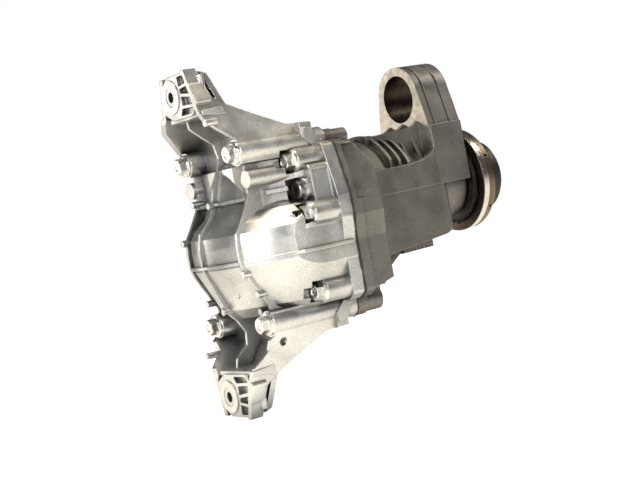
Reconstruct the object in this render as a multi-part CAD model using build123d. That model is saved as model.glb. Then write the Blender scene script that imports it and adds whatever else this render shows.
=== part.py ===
from build123d import *
import math
import os

# Differential gear assembly of a car rear axle.  Millimetres.
# +X points to the input flange, -X to the two mounting ears, +Z to the upper
# half-shaft, and the ring gear sits on the -Z side of the pinion.
# Every sub-part is modelled about the point where the drive pinion axis (X) crosses
# the half-shaft axis (Z), then moved so that the origin is the centre of the bolt
# face of the input flange.

# ---------------------------------------------------------------- housing
MID_Z = -15.7             # centre plane of the housing, the ears mirror about it
SEAM_X = 38.0             # joint face of the rear cover
GASKET = 0.5
NOSE_X = SEAM_X + GASKET  # joint face of the nose housing
FLANGE_THICK = 14.0
WALL = 6.0
RIB = 3.4
SIDE_RIB_Y = 51.0         # the two outer ribs, in line with the long bolts
SIDE_LIMIT_Y = 83.0
NECK_R = 40.0             # outside of the half-shaft necks
NECK_TOP = 64.0
BAND_Z = -36.0            # rib that runs round the ring gear bulge

LONG_BOLT_Y = 51.0
LONG_BOLT_Z = 66.0
LONG_BOSS_X = -57.0       # faces the long bolt heads bear on
LONG_BOSS_R = 12.4
SHORT_BOSS_X = -3.0
SHORT_BOSS_R = 12.0
RING_ROOM_R = 74.0        # space that the ring gear turns in
SHORT_BOLTS = [(61.0, 49.0), (75.0, -3.0), (70.0, -77.0)]
DOWELS = [(-66.0, 30.0), (66.0, -54.0)]
THREAD_R = 5.0            # M10
CLEAR_R = 5.5
SHORT_THREAD_END = 62.0
LONG_THREAD_END = 64.0

EAR_X = -86.2             # front face of both ears
EAR_Z = 130.65
EAR_BOSS_R = 16.0
EAR_HOLE_R = 5.1          # tapping hole for M12
EAR_HOLE_DEPTH = 30.0

PLUG_Y = -66.0
PLUG_Z = 21.3
PLUG_FACE_X = -2.0

BUSH_X0 = 180.3           # faces and bore of the front bushing ear
BUSH_X1 = 222.0
BUSH_Z = 95.6
BUSH_R = 25.1
BUSH_OUTER_R = 34.0
NOSE_END_X = 222.0
NOSE_END_R = 37.0
BOX_END_X = 77.0
PARTING_Z = 0.0           # upper and lower halves of the nose side walls meet here

# ---------------------------------------------------------------- final drive gears
RING_TEETH = 37
PINION_TEETH = 12
RING_PITCH_R = 68.0
PINION_PITCH_R = RING_PITCH_R * PINION_TEETH / RING_TEETH
FINAL_CONE = math.hypot(RING_PITCH_R, PINION_PITCH_R)
FINAL_MODULE = 2 * RING_PITCH_R / RING_TEETH
FINAL_FACE = 21.0
SPIRAL = math.radians(30)
PINION_ADDENDUM = 1.10    # in modules
RING_ADDENDUM = 0.55
TIP_CLEARANCE = 0.28
FLANK_CLEARANCE = 0.22    # taken off each flank of each gear, mm
RING_BACK_Z = -35.0
RING_BORE_R = 44.02
RING_OUTER_R = 72.0

# ---------------------------------------------------------------- differential gears
SIDE_TEETH = 16
SPIDER_TEETH = 10
SIDE_PITCH_R = 24.0
SPIDER_PITCH_R = SIDE_PITCH_R * SPIDER_TEETH / SIDE_TEETH
DIFF_CONE = math.hypot(SIDE_PITCH_R, SPIDER_PITCH_R)
DIFF_MODULE = 2 * SIDE_PITCH_R / SIDE_TEETH
DIFF_FACE = 9.5
DIFF_ADDENDUM = 0.75
SIDE_BACK = 21.0          # back of the side gears, from the differential centre
SPIDER_BACK = 31.0
HUB_R = 16.0
SPLINE_R = 12.0
CROSS_PIN_R = 7.0

# ---------------------------------------------------------------- differential case
CASE_R = 43.0
CASE_SPIGOT_R = 44.0
CASE_CAVITY_R = 32.6
BOWL_FLANGE_Z = -41.0     # joint between the bowl and the cap of the case
CAP_FLANGE_Z = -48.0
CASE_FLANGE_R = 64.0
RING_BOLTS = 10
RING_BOLT_PCR = 55.0

# ---------------------------------------------------------------- bearings (bore, outer, width)
SIDE_BEARING = (20.0, 34.0, 19.0)
HEAD_BEARING = (17.5, 36.0, 24.0)
TAIL_BEARING = (15.0, 31.0, 21.0)
SIDE_BEARING_Z = 36.0
HEAD_X = 75.0
TAIL_X = 158.0
ROLLER_GAP = 0.1

# ---------------------------------------------------------------- input flange
FLANGE_X = 230.3
FLANGE_R = 55.0
RIM_THICK = 7.3
RING_THICK = 10.7
SEAL_R = 22.0             # journal the pinion seal runs on
SHAFT_SPLINE_R = 14.0
FLANGE_BOLTS = 6
FLANGE_BOLT_PCR = 43.0
BOLT_FACE_X = FLANGE_X + RIM_THICK + 8.0
CAP_R = 38.0
CAP_SEAT_R = 38.3         # the bolt face starts outside this, the cap sits in a shallow step
CAP_END_X = 271.8


# ================================================================ helpers
def x_rod(radius, x0, x1, y=0.0, z=0.0):
    rod = Cylinder(radius, x1 - x0, align=(Align.CENTER, Align.CENTER, Align.MIN))
    return Pos(x0, y, z) * Rot(0, 90, 0) * rod


def y_rod(radius, y0, y1, x=0.0, z=0.0):
    rod = Cylinder(radius, y1 - y0, align=(Align.CENTER, Align.CENTER, Align.MIN))
    return Pos(x, y0, z) * Rot(-90, 0, 0) * rod


def z_rod(radius, z0, z1, x=0.0, y=0.0):
    rod = Cylinder(radius, z1 - z0, align=(Align.CENTER, Align.CENTER, Align.MIN))
    return Pos(x, y, z0) * rod


def polygon(points, rounding=0.0):
    face = make_face(Polyline(*points, close=True))
    if rounding:
        face = fillet(face.vertices(), rounding)
    return face


def slab_xz(points, y0, y1, rounding=0.0):
    return Pos(0, y1, 0) * extrude(Plane.XZ * polygon(points, rounding), amount=y1 - y0)


def slab_yz(points, x0, x1, rounding=0.0):
    return Pos(x0, 0, 0) * extrude(Plane.YZ * polygon(points, rounding), amount=x1 - x0)


def slab_xy(points, z0, z1, rounding=0.0):
    return Pos(0, 0, z0) * extrude(Plane.XY * polygon(points, rounding), amount=z1 - z0)


def turned_x(points):
    """Solid of revolution about X from (x, radius) points."""
    return revolve(Plane.XZ * polygon(points), Axis.X)


def turned_z(points):
    """Solid of revolution about Z from (radius, z) points."""
    return revolve(Plane.XZ * polygon(points), Axis.Z)


def d_shape(points, x_end):
    """Half turned about Z on the -X side, carried on straight to x_end."""
    half_section = [(0, points[0][1])] + points + [(0, points[-1][1])]
    half_turn = revolve(Plane.YZ * polygon(half_section), Axis.Z, 180)
    outline = points + [(-r, z) for r, z in reversed(points)]
    return half_turn + slab_yz(outline, 0, x_end)


def mirrored_ear(shape):
    return mirror(shape, Plane.XY.offset(MID_Z))


def both_sides(shape):
    return shape + mirror(shape, Plane.XZ)


def low(z):
    """Height mirrored about the centre plane of the housing."""
    return 2 * MID_Z - z


def long_bolt_points():
    return [(y, z) for z in (LONG_BOLT_Z, low(LONG_BOLT_Z)) for y in (-LONG_BOLT_Y, LONG_BOLT_Y)]


def short_bolt_points():
    return [(side * y, z) for y, z in SHORT_BOLTS for side in (-1, 1)]


# ================================================================ bevel teeth
def involute(angle):
    return math.tan(angle) - angle


def space_section(reach, teeth, pitch_angle, module, addendum, dedendum, pressure, relief, twist, steps):
    """Outline of one tooth space, flat, square to the pitch cone at distance reach."""
    equivalent_r = reach * math.tan(pitch_angle)
    equivalent_teeth = teeth / math.cos(pitch_angle)
    base_r = equivalent_r * math.cos(pressure)
    bottom = equivalent_r - dedendum * module
    top = equivalent_r + (addendum + 0.35) * module
    sides = []
    for step in range(steps + 1):
        radius = bottom + (top - bottom) * step / steps
        flank = math.acos(min(1.0, base_r / radius))
        half = math.pi / (2 * equivalent_teeth) + involute(flank) - involute(pressure) + relief / radius
        sides.append((radius, half))
    outline = [(r, -a) for r, a in reversed(sides)] + sides
    sin_p, cos_p = math.sin(pitch_angle), math.cos(pitch_angle)
    sin_t, cos_t = math.sin(twist), math.cos(twist)
    points = []
    for radius, angle in outline:
        out = radius * math.cos(angle)
        x = reach * sin_p + (out - equivalent_r) * cos_p
        y = radius * math.sin(angle)
        z = reach * cos_p - (out - equivalent_r) * sin_p
        points.append((x * cos_t - y * sin_t, x * sin_t + y * cos_t, z))
    return points


def tooth_spaces(
        teeth, mate_teeth, cone, face, addendum, mate_addendum, pressure, relief, spiral, steps, turn):
    """Cutters for every tooth space; gear axis +Z, apex at the origin, cones opening to +Z."""
    pitch_angle = math.atan2(teeth, mate_teeth)
    heel_module = 2 * cone * math.sin(pitch_angle) / teeth
    mean = cone - face / 2
    sections = []
    stations = 6 if spiral else 2
    for station in range(stations):
        reach = cone - face - 1.5 + (face + 3.0) * station / (stations - 1)
        module = heel_module * reach / cone
        twist = math.tan(spiral) * math.log(reach / mean) / math.sin(pitch_angle)
        points = space_section(
            reach, teeth, pitch_angle, module, addendum, mate_addendum + TIP_CLEARANCE,
            pressure, relief, twist, steps)
        sections.append(make_face(Polyline(*points, close=True)))
    cutter = loft(sections, ruled=not spiral)
    pitch = 360 / teeth
    return [Rot(0, 0, turn * pitch + pitch * i) * cutter for i in range(teeth)]


def tooth_tips(teeth, mate_teeth, cone, face, addendum):
    """(radius, z) of the tooth tips at the toe and at the heel of a bevel gear."""
    angle = math.atan2(teeth, mate_teeth)
    heel_add = addendum * 2 * cone * math.sin(angle) / teeth
    toe = cone - face
    toe_add = heel_add * toe / cone
    toe_tip = (toe * math.sin(angle) + toe_add * math.cos(angle),
               toe * math.cos(angle) - toe_add * math.sin(angle))
    heel_tip = (cone * math.sin(angle) + heel_add * math.cos(angle),
                cone * math.cos(angle) - heel_add * math.sin(angle))
    return toe_tip, heel_tip


# ================================================================ rear cover
CHAMBER = [
    (46, 58), (50, 50), (55, 38), (60, 22), (67, 9), (78, 0), (84, -9), (85, -20), (85, -40),
    (80, -51), (73, -67), (67, -81), (57, -91)]
CAVITY = [
    (40, 52), (48, 38), (54, 22), (61, 8), (73, -4), (76.5, -12), (76.5, -41), (68.5, -64),
    (61, -77), (51, -84)]
SIDE_RIB_EDGE = [
    (-51, 66), (-51.5, 40), (-52.5, 27), (-58, 16), (-66, 3), (-73.3, -8), (-75, -21), (-75, -35),
    (-72, -45), (-67.5, -55), (-60.5, -67), (-53, -80), (-50, -97)]
MIDDLE_RIB_EDGE = [
    (-74, 110), (-73, 98), (-60.5, 87.5), (-50.5, 79.5), (-47.8, 66), (-52.2, 54), (-60.6, 38),
    (-65.4, 22), (-72.8, 8), (-84.1, -2.5), (-88.2, -18.7), (-87.9, -36), (-83.7, -49),
    (-77.7, -65.5), (-71.6, -82), (-61.7, -92.5), (-54.6, -105), (-56.2, -117.5), (-70, -128),
    (-73, -142)]
SEAM_OUTLINE = [
    (-75, 60), (-87, 10), (-87, -12), (-83, -36), (-82, -86), (-72, -92), (72, -92), (82, -86),
    (83, -36), (87, -12), (87, 10), (75, 60), (68, 63), (-68, 63)]
EJECTOR_PADS = [
    (-80, -51, 98), (-52, -51, 39), (-71, -51, -47), (-60, -51, -68), (-75, -24, -12),
    (-66, -24, -66), (-56, 51, 26), (-75, 51, -10), (-61, 51, -74), (-72, 0, -81), (-66, 0, 22),
    (-52, -36, -86), (-76, 45, -124)]
UPPER_GUSSET_EDGE = [(-85, 152), (-85, 108), (-82, 99.5), (-60.7, 81), (-57, 77), (-57, 55)]
LOWER_GUSSET_EDGE = [
    (-85, 152), (-85, 116), (-80, 104), (-70, 96.6), (-63.5, 90), (-62, 81), (-57, 77), (-57, 55)]
GUSSET_BACK = [
    (30, 55), (24.5, 76), (24.5, 84), (1.2, 85.8), (-20.6, 96), (-41.6, 106.8), (-60.4, 117.5),
    (-66, 123), (-68, 132), (-69, 142), (-72, 152)]


def seam_profile(grow, x0, x1):
    """The outline both housing flanges share, with lobes round the long bolts."""
    plate = slab_yz(SEAM_OUTLINE, x0, x1, rounding=5)
    for y, z in long_bolt_points():
        lobe = (9.0 if z > 0 else 13.0) + grow
        plate += x_rod(lobe, x0, x1, y, z)
        inward = -1 if z > 0 else 1
        plate += Pos((x0 + x1) / 2, y, z + inward * 10) * Box(x1 - x0, 2 * lobe, 20)
    return plate


def ear_plate():
    """Six-sided ear plate with its round pad and shallow cast pockets."""
    outline = [(3.4, 150), (-29.6, 150), (-39.3, 136), (-48.9, 118.7), (-35.3, 108.2), (5, 108.8),
               (21.5, 117.6), (17, 139)]
    face = EAR_X + 1.2
    plate = slab_yz(outline, face, EAR_X + 17, rounding=2.5)
    pockets = [
        [(-17, 147.5), (-28.5, 147.5), (-34, 140), (-18, 138)],
        [(-18.5, 135.5), (-35.5, 137), (-40, 128.5), (-19.5, 131.5)],
        [(-19, 128.5), (-41, 125), (-45, 118.5), (-19.5, 120)],
        [(-18, 117), (-42, 115.6), (-35, 110.5), (-13, 110.5)]]
    for pocket in pockets:
        plate -= slab_yz(pocket, face - 1, face + 4.5, rounding=1.2)
    plate += x_rod(EAR_BOSS_R, EAR_X, EAR_X + 35, 0, EAR_Z)
    return plate - x_rod(9.5, EAR_X - 1, EAR_X + 0.6, 0, EAR_Z)


def ear(front_edge):
    """Upper mounting ear: plate, two gusset walls, floor; the lower ear is its mirror."""
    near_wall = slab_yz([
        (-60, 55), (-60, 75), (-33, 152), (-27.8, 152), (-54.8, 75), (-54.8, 55)], -92, 32)
    far_wall = slab_yz([
        (60, 55), (60, 80), (25, 115), (18, 150), (12, 150), (20, 111), (54.5, 77), (54.5, 55)],
        -92, 32)
    walls = (near_wall + far_wall) & slab_xz(front_edge + GUSSET_BACK, -100, 100)
    floor = slab_xz([
        (-34, 55), (-34, 88), (-52, 112), (-60, 146), (-67, 149), (-58, 108), (-39.5, 84), (-39.5, 55)],
        -70, 70)
    floor &= slab_yz([
        (-58, 50), (-58, 75), (-31, 150), (14, 149), (22, 112), (57, 79), (57, 50)], -100, 0)
    block = slab_xz([(12, 60), (12, 85), (25, 84), (25, 60)], -62, -50)
    brace = slab_xz([
        (14, 80), (24, 77), (30, 67), (38, 61), (38, 54), (24, 58), (12, 70)], -64.5, -59.5)
    shape = ear_plate() + walls + floor + both_sides(block + brace)
    shape += slab_xz([(-82, 106), (-82, 110), (-60, 112), (-58, 104)], -50, 16)
    shape += Pos(-70, -36, 137) * Cylinder(3.6, 15)
    return shape


def upper_body():
    """Broad upper part of the cover, its sides flared out towards the joint flange."""
    front = [(-44, 50), (-49, 25), (-50, 0), (-49, -25), (-44, -50)]
    low_sides = [(-30, -57), (-6, -66), (24, -73), (SEAM_X, -75)]
    high_sides = [(-30, -55), (-6, -58), (SEAM_X, -62)]
    shape = None
    for sides, z0, z1 in ((low_sides, 2, 42), (high_sides, 42, 54)):
        outline = front + sides + [(x, -y) for x, y in reversed(sides)]
        layer = slab_xy(outline, z0, z1, rounding=3 if z1 == 42 else 0)
        shape = layer if shape is None else shape + layer
    return shape


def label_pad():
    """Raised pad beside the filler plug, with a blank recess."""
    pad = slab_yz([(-80, 5), (-79, 40), (-76, 43), (-60, 44), (-60, 2), (-77, 2)], 3, 26)
    return pad - slab_yz([(-90, 9), (-79, 9), (-78, 38), (-90, 38)], 6, 23)


def cover_ribs():
    """Three ribs in planes across Y, plus the band round the bulge."""
    side = SIDE_RIB_EDGE + [(30, -97), (30, 66)]
    shape = both_sides(slab_xz(side, -SIDE_RIB_Y - RIB / 2, -SIDE_RIB_Y + RIB / 2))
    middle = MIDDLE_RIB_EDGE + [(-62, -142), (-38, -112), (-36, -80), (-20, -80), (-20, 50), (-36, 50),
                                (-36, 82), (-58, 106)]
    shape += slab_xz(middle, -RIB / 2, RIB / 2)
    band = [(70, BAND_Z + 2.2), (88.5, BAND_Z + 1.6), (88.5, BAND_Z - 1.6), (70, BAND_Z - 2.2)]
    ring = revolve(Plane.YZ * polygon(band), Axis.Z, 180)
    shape += ring & Box(400, 2 * SIDE_LIMIT_Y + 5, 400)
    strip = [(-85.5, BAND_Z - 1.6), (-85.5, BAND_Z + 1.6), (-75, BAND_Z + 2.2), (-75, BAND_Z - 2.2)]
    shape += both_sides(slab_yz(strip, -22, SEAM_X - 4))
    shape += slab_xy([(-54, -51), (-64, 0), (-54, 51), (-40, 51), (-40, -51)], 20.6, 23.8)
    for x, y, z in EJECTOR_PADS:
        shape += x_rod(3.4, x - 3, x + 10, y, z)
    return shape


def cover_bosses():
    shape = None
    for y, z in long_bolt_points():
        boss = x_rod(LONG_BOSS_R, LONG_BOSS_X, SEAM_X, y, z)
        shape = boss if shape is None else shape + boss
    for y, z in short_bolt_points():
        shape += x_rod(SHORT_BOSS_R, SHORT_BOSS_X, SEAM_X, y, z)
    shape += x_rod(11.5, PLUG_FACE_X, 14, PLUG_Y, PLUG_Z)
    shape += both_sides(x_rod(8.5, -55, 2, -57, 40))
    shape += slab_xy([(-36, -50), (-36, -58), (-4, -70), (-4, -50)], 22.5, 26.5)
    return shape


def bolt_pockets():
    """Thick places inside the chamber wall where the short bolt heads are let into it."""
    low_bolts = [(y, z) for y, z in short_bolt_points() if z < 20]
    pads = [x_rod(SHORT_BOSS_R + 3, SHORT_BOSS_X - 16, SEAM_X, y, z) for y, z in low_bolts]
    pads = (pads[0] + pads[1:]) & d_shape(CHAMBER, SEAM_X)
    return pads - z_rod(RING_ROOM_R, CAP_FLANGE_Z - 9, MID_Z)


def rear_cover():
    shape = d_shape(CHAMBER, SEAM_X)
    outside = d_shape([(r + 3, z) for r, z in CHAMBER[4:]], SEAM_X)
    outside &= both_sides(Pos(0, -SIDE_RIB_Y - 50, 0) * Box(300, 100, 400))
    shape = (shape + outside) & Box(300, 2 * SIDE_LIMIT_Y, 400)
    shape += upper_body() + label_pad()
    shape += seam_profile(0, SEAM_X - FLANGE_THICK, SEAM_X)
    shape += cover_bosses() + cover_ribs()
    shape += ear(UPPER_GUSSET_EDGE) + mirrored_ear(ear(LOWER_GUSSET_EDGE))
    shape += z_rod(NECK_R, 40, NECK_TOP) + z_rod(NECK_R, low(NECK_TOP), low(40))
    shape -= Pos(SEAM_X + 50, 0, MID_Z) * Box(100, 400, 400)
    shape -= d_shape(CAVITY, SEAM_X + 1)
    shape += bolt_pockets()
    seats = z_rod(NECK_R, 34.5, 56) + z_rod(NECK_R, low(56), low(34.5))
    shape += seats - Pos(SEAM_X + 50, 0, MID_Z) * Box(100, 400, 400)
    shape -= z_rod(SIDE_BEARING[1], low(NECK_TOP + 1), NECK_TOP + 1)
    for y, z in long_bolt_points():
        shape -= x_rod(CLEAR_R, LONG_BOSS_X - 30, SEAM_X + 1, y, z)
        shape -= x_rod(LONG_BOSS_R + 0.6, LONG_BOSS_X - 30, LONG_BOSS_X, y, z)
    for y, z in short_bolt_points():
        shape -= x_rod(CLEAR_R, SHORT_BOSS_X - 20, SEAM_X + 1, y, z)
        shape -= x_rod(SHORT_BOSS_R - 0.2, SHORT_BOSS_X - 12, SHORT_BOSS_X, y, z)
    shape -= x_rod(7.0, PLUG_FACE_X - 1, 12, PLUG_Y, PLUG_Z)
    shape -= x_rod(11.5, PLUG_FACE_X - 14, PLUG_FACE_X, PLUG_Y, PLUG_Z)
    shape -= y_rod(4.0, -70, -40, -47.6, -116.2)
    for z in (EAR_Z, low(EAR_Z)):
        shape -= x_rod(EAR_HOLE_R, EAR_X - 1, EAR_X + EAR_HOLE_DEPTH, 0, z)
    for y, z in DOWELS:
        shape -= x_rod(4.0, SEAM_X - 8, SEAM_X + 1, y, z)
    return shape


# ================================================================ nose housing
WALL_TOP_EDGE = [
    (78, 25), (134, 26), (152, 27), (162, 28.5), (172, 31.5), (178, 35), (181, 39), (181, 62)]


def nose_walls():
    """Straight side walls that join the box to the bushing ear, one above the other."""
    upper_plan = [(76, -75.5), (181, -45.2), (NOSE_END_X, -44.6), (NOSE_END_X, -38), (181, -38), (76, -66)]
    upper_view = WALL_TOP_EDGE + [(NOSE_END_X, 62), (NOSE_END_X, PARTING_Z), (78, PARTING_Z)]
    upper = slab_xy(upper_plan, PARTING_Z, 66) & slab_xz(upper_view, -100, 0)
    lower_plan = [
        (76, -74.8), (181, -44.5), (187, -43.5), (190, -41), (190, -30), (76, -64)]
    lower_view = [(78, PARTING_Z), (191, PARTING_Z), (191, -43), (187, -48.5), (178, -52), (78, -59)]
    lower = slab_xy(lower_plan, -60, PARTING_Z) & slab_xz(lower_view, -100, 0)
    lip = slab_xy([(104, -64), (152, -51), (152, -38), (104, -50)], -61, -54)
    for i in range(5):
        lip -= Pos(122 + 6 * i, -52, -60) * Box(2.4, 40, 3)
    return both_sides(upper + lower + lip)


def bushing_ear():
    outline = [(-44, 0), (-44.5, 55), (-38, 84), (-33.5, 101), (33.5, 101), (38, 84), (44, 55),
               (42, 0)]
    shape = slab_yz(outline, BUSH_X0, BUSH_X1) + x_rod(BUSH_OUTER_R, BUSH_X0, BUSH_X1, 0, BUSH_Z)
    groove_out = slab_yz([(-60, 36), (-60, 140), (60, 140), (60, 36)], 0, 2.4)
    inner = [(-42.5, 0), (-43, 55), (-36.5, 84), (-32, 101), (32, 101), (36.5, 84), (42.5, 55), (40.5, 0)]
    keep = slab_yz(inner, -1, 4) + x_rod(BUSH_OUTER_R - 1.5, -1, 4, 0, BUSH_Z)
    groove = groove_out - keep
    for x in (BUSH_X0 + 7.5, BUSH_X0 + 27.0):
        shape -= Pos(x, 0, 0) * groove
    return shape


def nose_webs():
    """Ribs round the barrel and the webs that carry the bushing ear."""
    shape = None
    for x in (116, 127, 138):
        rim = 64.5 - (x - 116) * 0.12
        hoop = turned_x([(x - 1.5, 30), (x - 1.5, rim), (x + 1.5, rim), (x + 1.5, 30)])
        hoop &= Box(600, 110, 400)
        shape = hoop if shape is None else shape + hoop
    for y in (-24, 0, 24):
        shape += slab_xz([(108, 40), (112, 61), (136, 61.5), (172, 64), (185, 72), (185, 30)], y - 2, y + 2)
    for x, top, side in ((152, 56, 50), (167, 58, 46)):
        shape += slab_yz([
            (-side, -20), (-side, 24), (-36, 30), (-24, top), (24, top), (36, 30), (side, 24), (side, -20)],
            x, x + 3.5)
    return shape


def nose_box():
    """Square part behind the joint face, its far corners sloped off."""
    outline = [(y * 0.985, z) for y, z in SEAM_OUTLINE]
    shape = Pos(NOSE_X, 0, 0) * extrude(
        Plane.YZ * polygon(outline, 5), amount=BOX_END_X - NOSE_X, taper=5)
    shape -= slab_xz([(60.5, 58), (BOX_END_X + 1, 34), (90, 34), (90, 90), (60.5, 90)], -100, 100)
    return shape - slab_xz([(38, -90), (BOX_END_X + 1, -79), (90, -79), (90, -110), (38, -110)], -100, 100)


def nose_outside():
    shape = seam_profile(0, NOSE_X, NOSE_X + 12) + nose_box()
    shape += turned_x([
        (62, 0), (62, 60), (106, 60), (150, 48), (193, 38), (193, NOSE_END_R), (NOSE_END_X - 1.5, NOSE_END_R),
        (NOSE_END_X, NOSE_END_R - 1.5), (NOSE_END_X, 0)])
    shape += nose_webs() + nose_walls() + bushing_ear()
    for y in (-58, 58):
        shape += slab_xz([
            (66, -80), (78, -77), (106, -57), (120, -56), (120, -40), (66, -40)], y - 3, y + 3)
    shape += slab_xz([(70, -86), (78, -84), (150, -50), (150, -30), (70, -30)], -4, 4)
    for y, z in long_bolt_points():
        radius, end = (8.0, 67) if z > 0 else (11.5, 70)
        shape += x_rod(radius, NOSE_X, end, y, z)
        inward = -7 if z > 0 else 8
        shape += Pos((NOSE_X + end) / 2, y, z + inward) * Box(end - NOSE_X, 1.6 * radius, 16)
    for y, z in short_bolt_points():
        shape += x_rod(8.0, NOSE_X, SHORT_THREAD_END + 6, y, z)
    return shape


def nose_housing():
    shape = nose_outside()
    shape -= x_rod(BUSH_R, BUSH_X0 - 1, BUSH_X1 + 1, 0, BUSH_Z)
    cavity = [(-54, 52), (-64, 8), (-64, -62), (-54, -83), (54, -83), (64, -62), (64, 8), (54, 52)]
    room = slab_yz(cavity, NOSE_X - 1, 68, rounding=6)
    room += z_rod(75.0, -60, -9)
    room -= Pos(-50 + NOSE_X - 1, 0, 0) * Box(100, 400, 400)
    for y, z in short_bolt_points():
        room -= x_rod(8.5, NOSE_X - 2, 80, y, z)
    boss = x_rod(HEAD_BEARING[1] + 6, HEAD_X - 8, HEAD_X + 6)
    room -= boss - z_rod(75.0, -60, -9)
    shape -= room
    head_cut = [(HEAD_X - 20, 0), (HEAD_X - 20, HEAD_BEARING[1]), (HEAD_X + 24, HEAD_BEARING[1]),
                (HEAD_X + 24, 31), (TAIL_X - 3, 27), (TAIL_X, 27), (TAIL_X, TAIL_BEARING[1]),
                (206, TAIL_BEARING[1]), (206, 32), (NOSE_END_X + 1, 32), (NOSE_END_X + 1, 0)]
    shape -= turned_x(head_cut)
    for y, z in long_bolt_points():
        shape -= x_rod(THREAD_R, NOSE_X - 1, LONG_THREAD_END, y, z)
    for y, z in short_bolt_points():
        shape -= x_rod(THREAD_R, NOSE_X - 1, SHORT_THREAD_END, y, z)
    for y, z in DOWELS:
        shape -= x_rod(4.0, NOSE_X - 1, NOSE_X + 8, y, z)
    shape -= slab_yz([(-95, 2), (-82.8, 2), (-82.6, 10), (-71.6, 57), (-95, 57)], 45, BOX_END_X + 3)
    shape -= z_rod(4.0, 40, 80, 52, -20)
    return shape


def seam_gasket():
    shape = seam_profile(-0.4, SEAM_X, NOSE_X)
    shape -= slab_yz([
        (-54, 52), (-64, 8), (-64, -62), (-54, -83), (54, -83), (64, -62), (64, 8), (54, 52)],
        SEAM_X - 1, NOSE_X + 1, rounding=6)
    shape -= slab_yz([(-76, -9), (-76, -60), (76, -60), (76, -9)], SEAM_X - 1, NOSE_X + 1)
    for y, z in long_bolt_points() + short_bolt_points():
        shape -= x_rod(CLEAR_R, SEAM_X - 1, NOSE_X + 1, y, z)
    for y, z in DOWELS:
        shape -= x_rod(4.0, SEAM_X - 1, NOSE_X + 1, y, z)
    return shape


# ================================================================ fasteners
def hexagon(across_flats, length):
    return extrude(RegularPolygon(across_flats / math.sqrt(3), 6), amount=length)


def flange_bolt(face_x, end_x, y, z):
    """M10 flange bolt lying along X; the head is on the -X side of face_x."""
    head = turned_x([(-10.5, 0), (-10.5, 7), (-9.5, 8.6), (-3.2, 8.6), (-2.2, 11.2), (0, 11.4), (0, 0)])
    cut = Pos(-10.6, 0, 0) * Rot(0, 90, 0) * (
        extrude(Circle(14), amount=7.6) - hexagon(14.6, 7.6))
    head -= cut
    head -= x_rod(4.2, -11, -9.6)
    shank = turned_x([
        (-1, 0), (-1, THREAD_R), (end_x - face_x - 1.2, THREAD_R), (end_x - face_x, THREAD_R - 1.2),
        (end_x - face_x, 0)])
    return Pos(face_x, y, z) * (head + shank)


def cover_bolts_long():
    return Compound(children=[
        flange_bolt(LONG_BOSS_X, LONG_THREAD_END - 4, y, z) for y, z in long_bolt_points()])


def cover_bolts_short():
    return Compound(children=[
        flange_bolt(SHORT_BOSS_X, SHORT_THREAD_END - 4, y, z) for y, z in short_bolt_points()])


def dowel_pins():
    pins = []
    for y, z in DOWELS:
        pins.append(x_rod(4.0, SEAM_X - 7.5, NOSE_X + 7.5, y, z) - x_rod(2.4, SEAM_X - 9, NOSE_X + 9, y, z))
    return Compound(children=pins)


def filler_plug():
    x = PLUG_FACE_X - 1.2
    plug = turned_x([
        (x - 5, 0), (x - 5, 7.6), (x - 4, 8.6), (x, 8.6), (x, 7.0), (x + 12, 7.0), (x + 13, 6.0),
        (x + 13, 0)])
    socket = Pos(x - 6, 0, 0) * Rot(0, 90, 0) * hexagon(8.0, 8)
    return Pos(0, PLUG_Y, PLUG_Z) * (plug - socket)


def plug_washer():
    x = PLUG_FACE_X
    return x_rod(10.2, x - 1.2, x, PLUG_Y, PLUG_Z) - x_rod(7.0, x - 2, x + 1, PLUG_Y, PLUG_Z)


def breather_vent():
    stem = turned_z([(0, 50), (4.0, 50), (4.0, 63.0), (6.0, 63.0), (6.0, 66.5), (4.6, 67.5), (0, 67.5)])
    return Pos(52, -20, 0) * (stem - z_rod(1.5, 45, 65))


# ================================================================ bearings
def bearing_profile(bore, outer, width):
    slope = math.tan(math.radians(12))
    middle = (bore + outer) / 2
    roller = (outer - bore) * 0.2
    length = width * 0.62
    return slope, middle, roller, length


def cup(bore, outer, width):
    """Outer race; local axis +Z, wide end of the rollers towards z = 0."""
    slope, middle, roller, _ = bearing_profile(bore, outer, width)
    gap = (roller + ROLLER_GAP) / math.cos(math.atan(slope))
    z0 = width * 0.15
    r0 = middle - (z0 - width / 2) * slope + gap
    r1 = middle - (width / 2) * slope + gap
    return turned_z([(r0, z0), (outer, z0), (outer, width), (r1, width)])


def cone(bore, outer, width):
    """Inner race with its two lips."""
    slope, middle, roller, length = bearing_profile(bore, outer, width)
    gap = (roller + ROLLER_GAP) / math.cos(math.atan(slope))
    reach = length / 2 + 0.9

    def race(z, lift=0.0):
        return middle - (z - width / 2) * slope - gap + lift

    z_big = width / 2 - reach
    z_small = width / 2 + reach
    end = width * 0.93
    return turned_z([
        (bore, 0), (race(0, 1.4), 0), (race(z_big, 1.4), z_big), (race(z_big), z_big),
        (race(z_small), z_small), (race(z_small, 0.8), z_small), (race(end, 0.8), end), (bore, end)])


def rollers(bore, outer, width, count):
    """Cage and rollers of one bearing, each roller held in its cage window."""
    slope, middle, roller, length = bearing_profile(bore, outer, width)
    lean = math.degrees(math.atan(slope))
    lower, upper = width / 2 - length / 2 - 1.6, width / 2 + length / 2 + 1.6

    def centre(z):
        return middle - (z - width / 2) * slope

    cage = turned_z([
        (centre(lower) - 0.1, lower), (centre(lower) + 1.1, lower), (centre(upper) + 1.1, upper),
        (centre(upper) - 0.1, upper)])
    one = Rot(0, -lean, 0) * Cylinder(roller, length)
    one = Pos(middle, 0, width / 2) * one
    ring = [Rot(0, 0, 360 * (i + 0.3) / count) * one for i in range(count)]
    cage -= ring
    return Compound(children=[cage] + ring)


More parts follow.
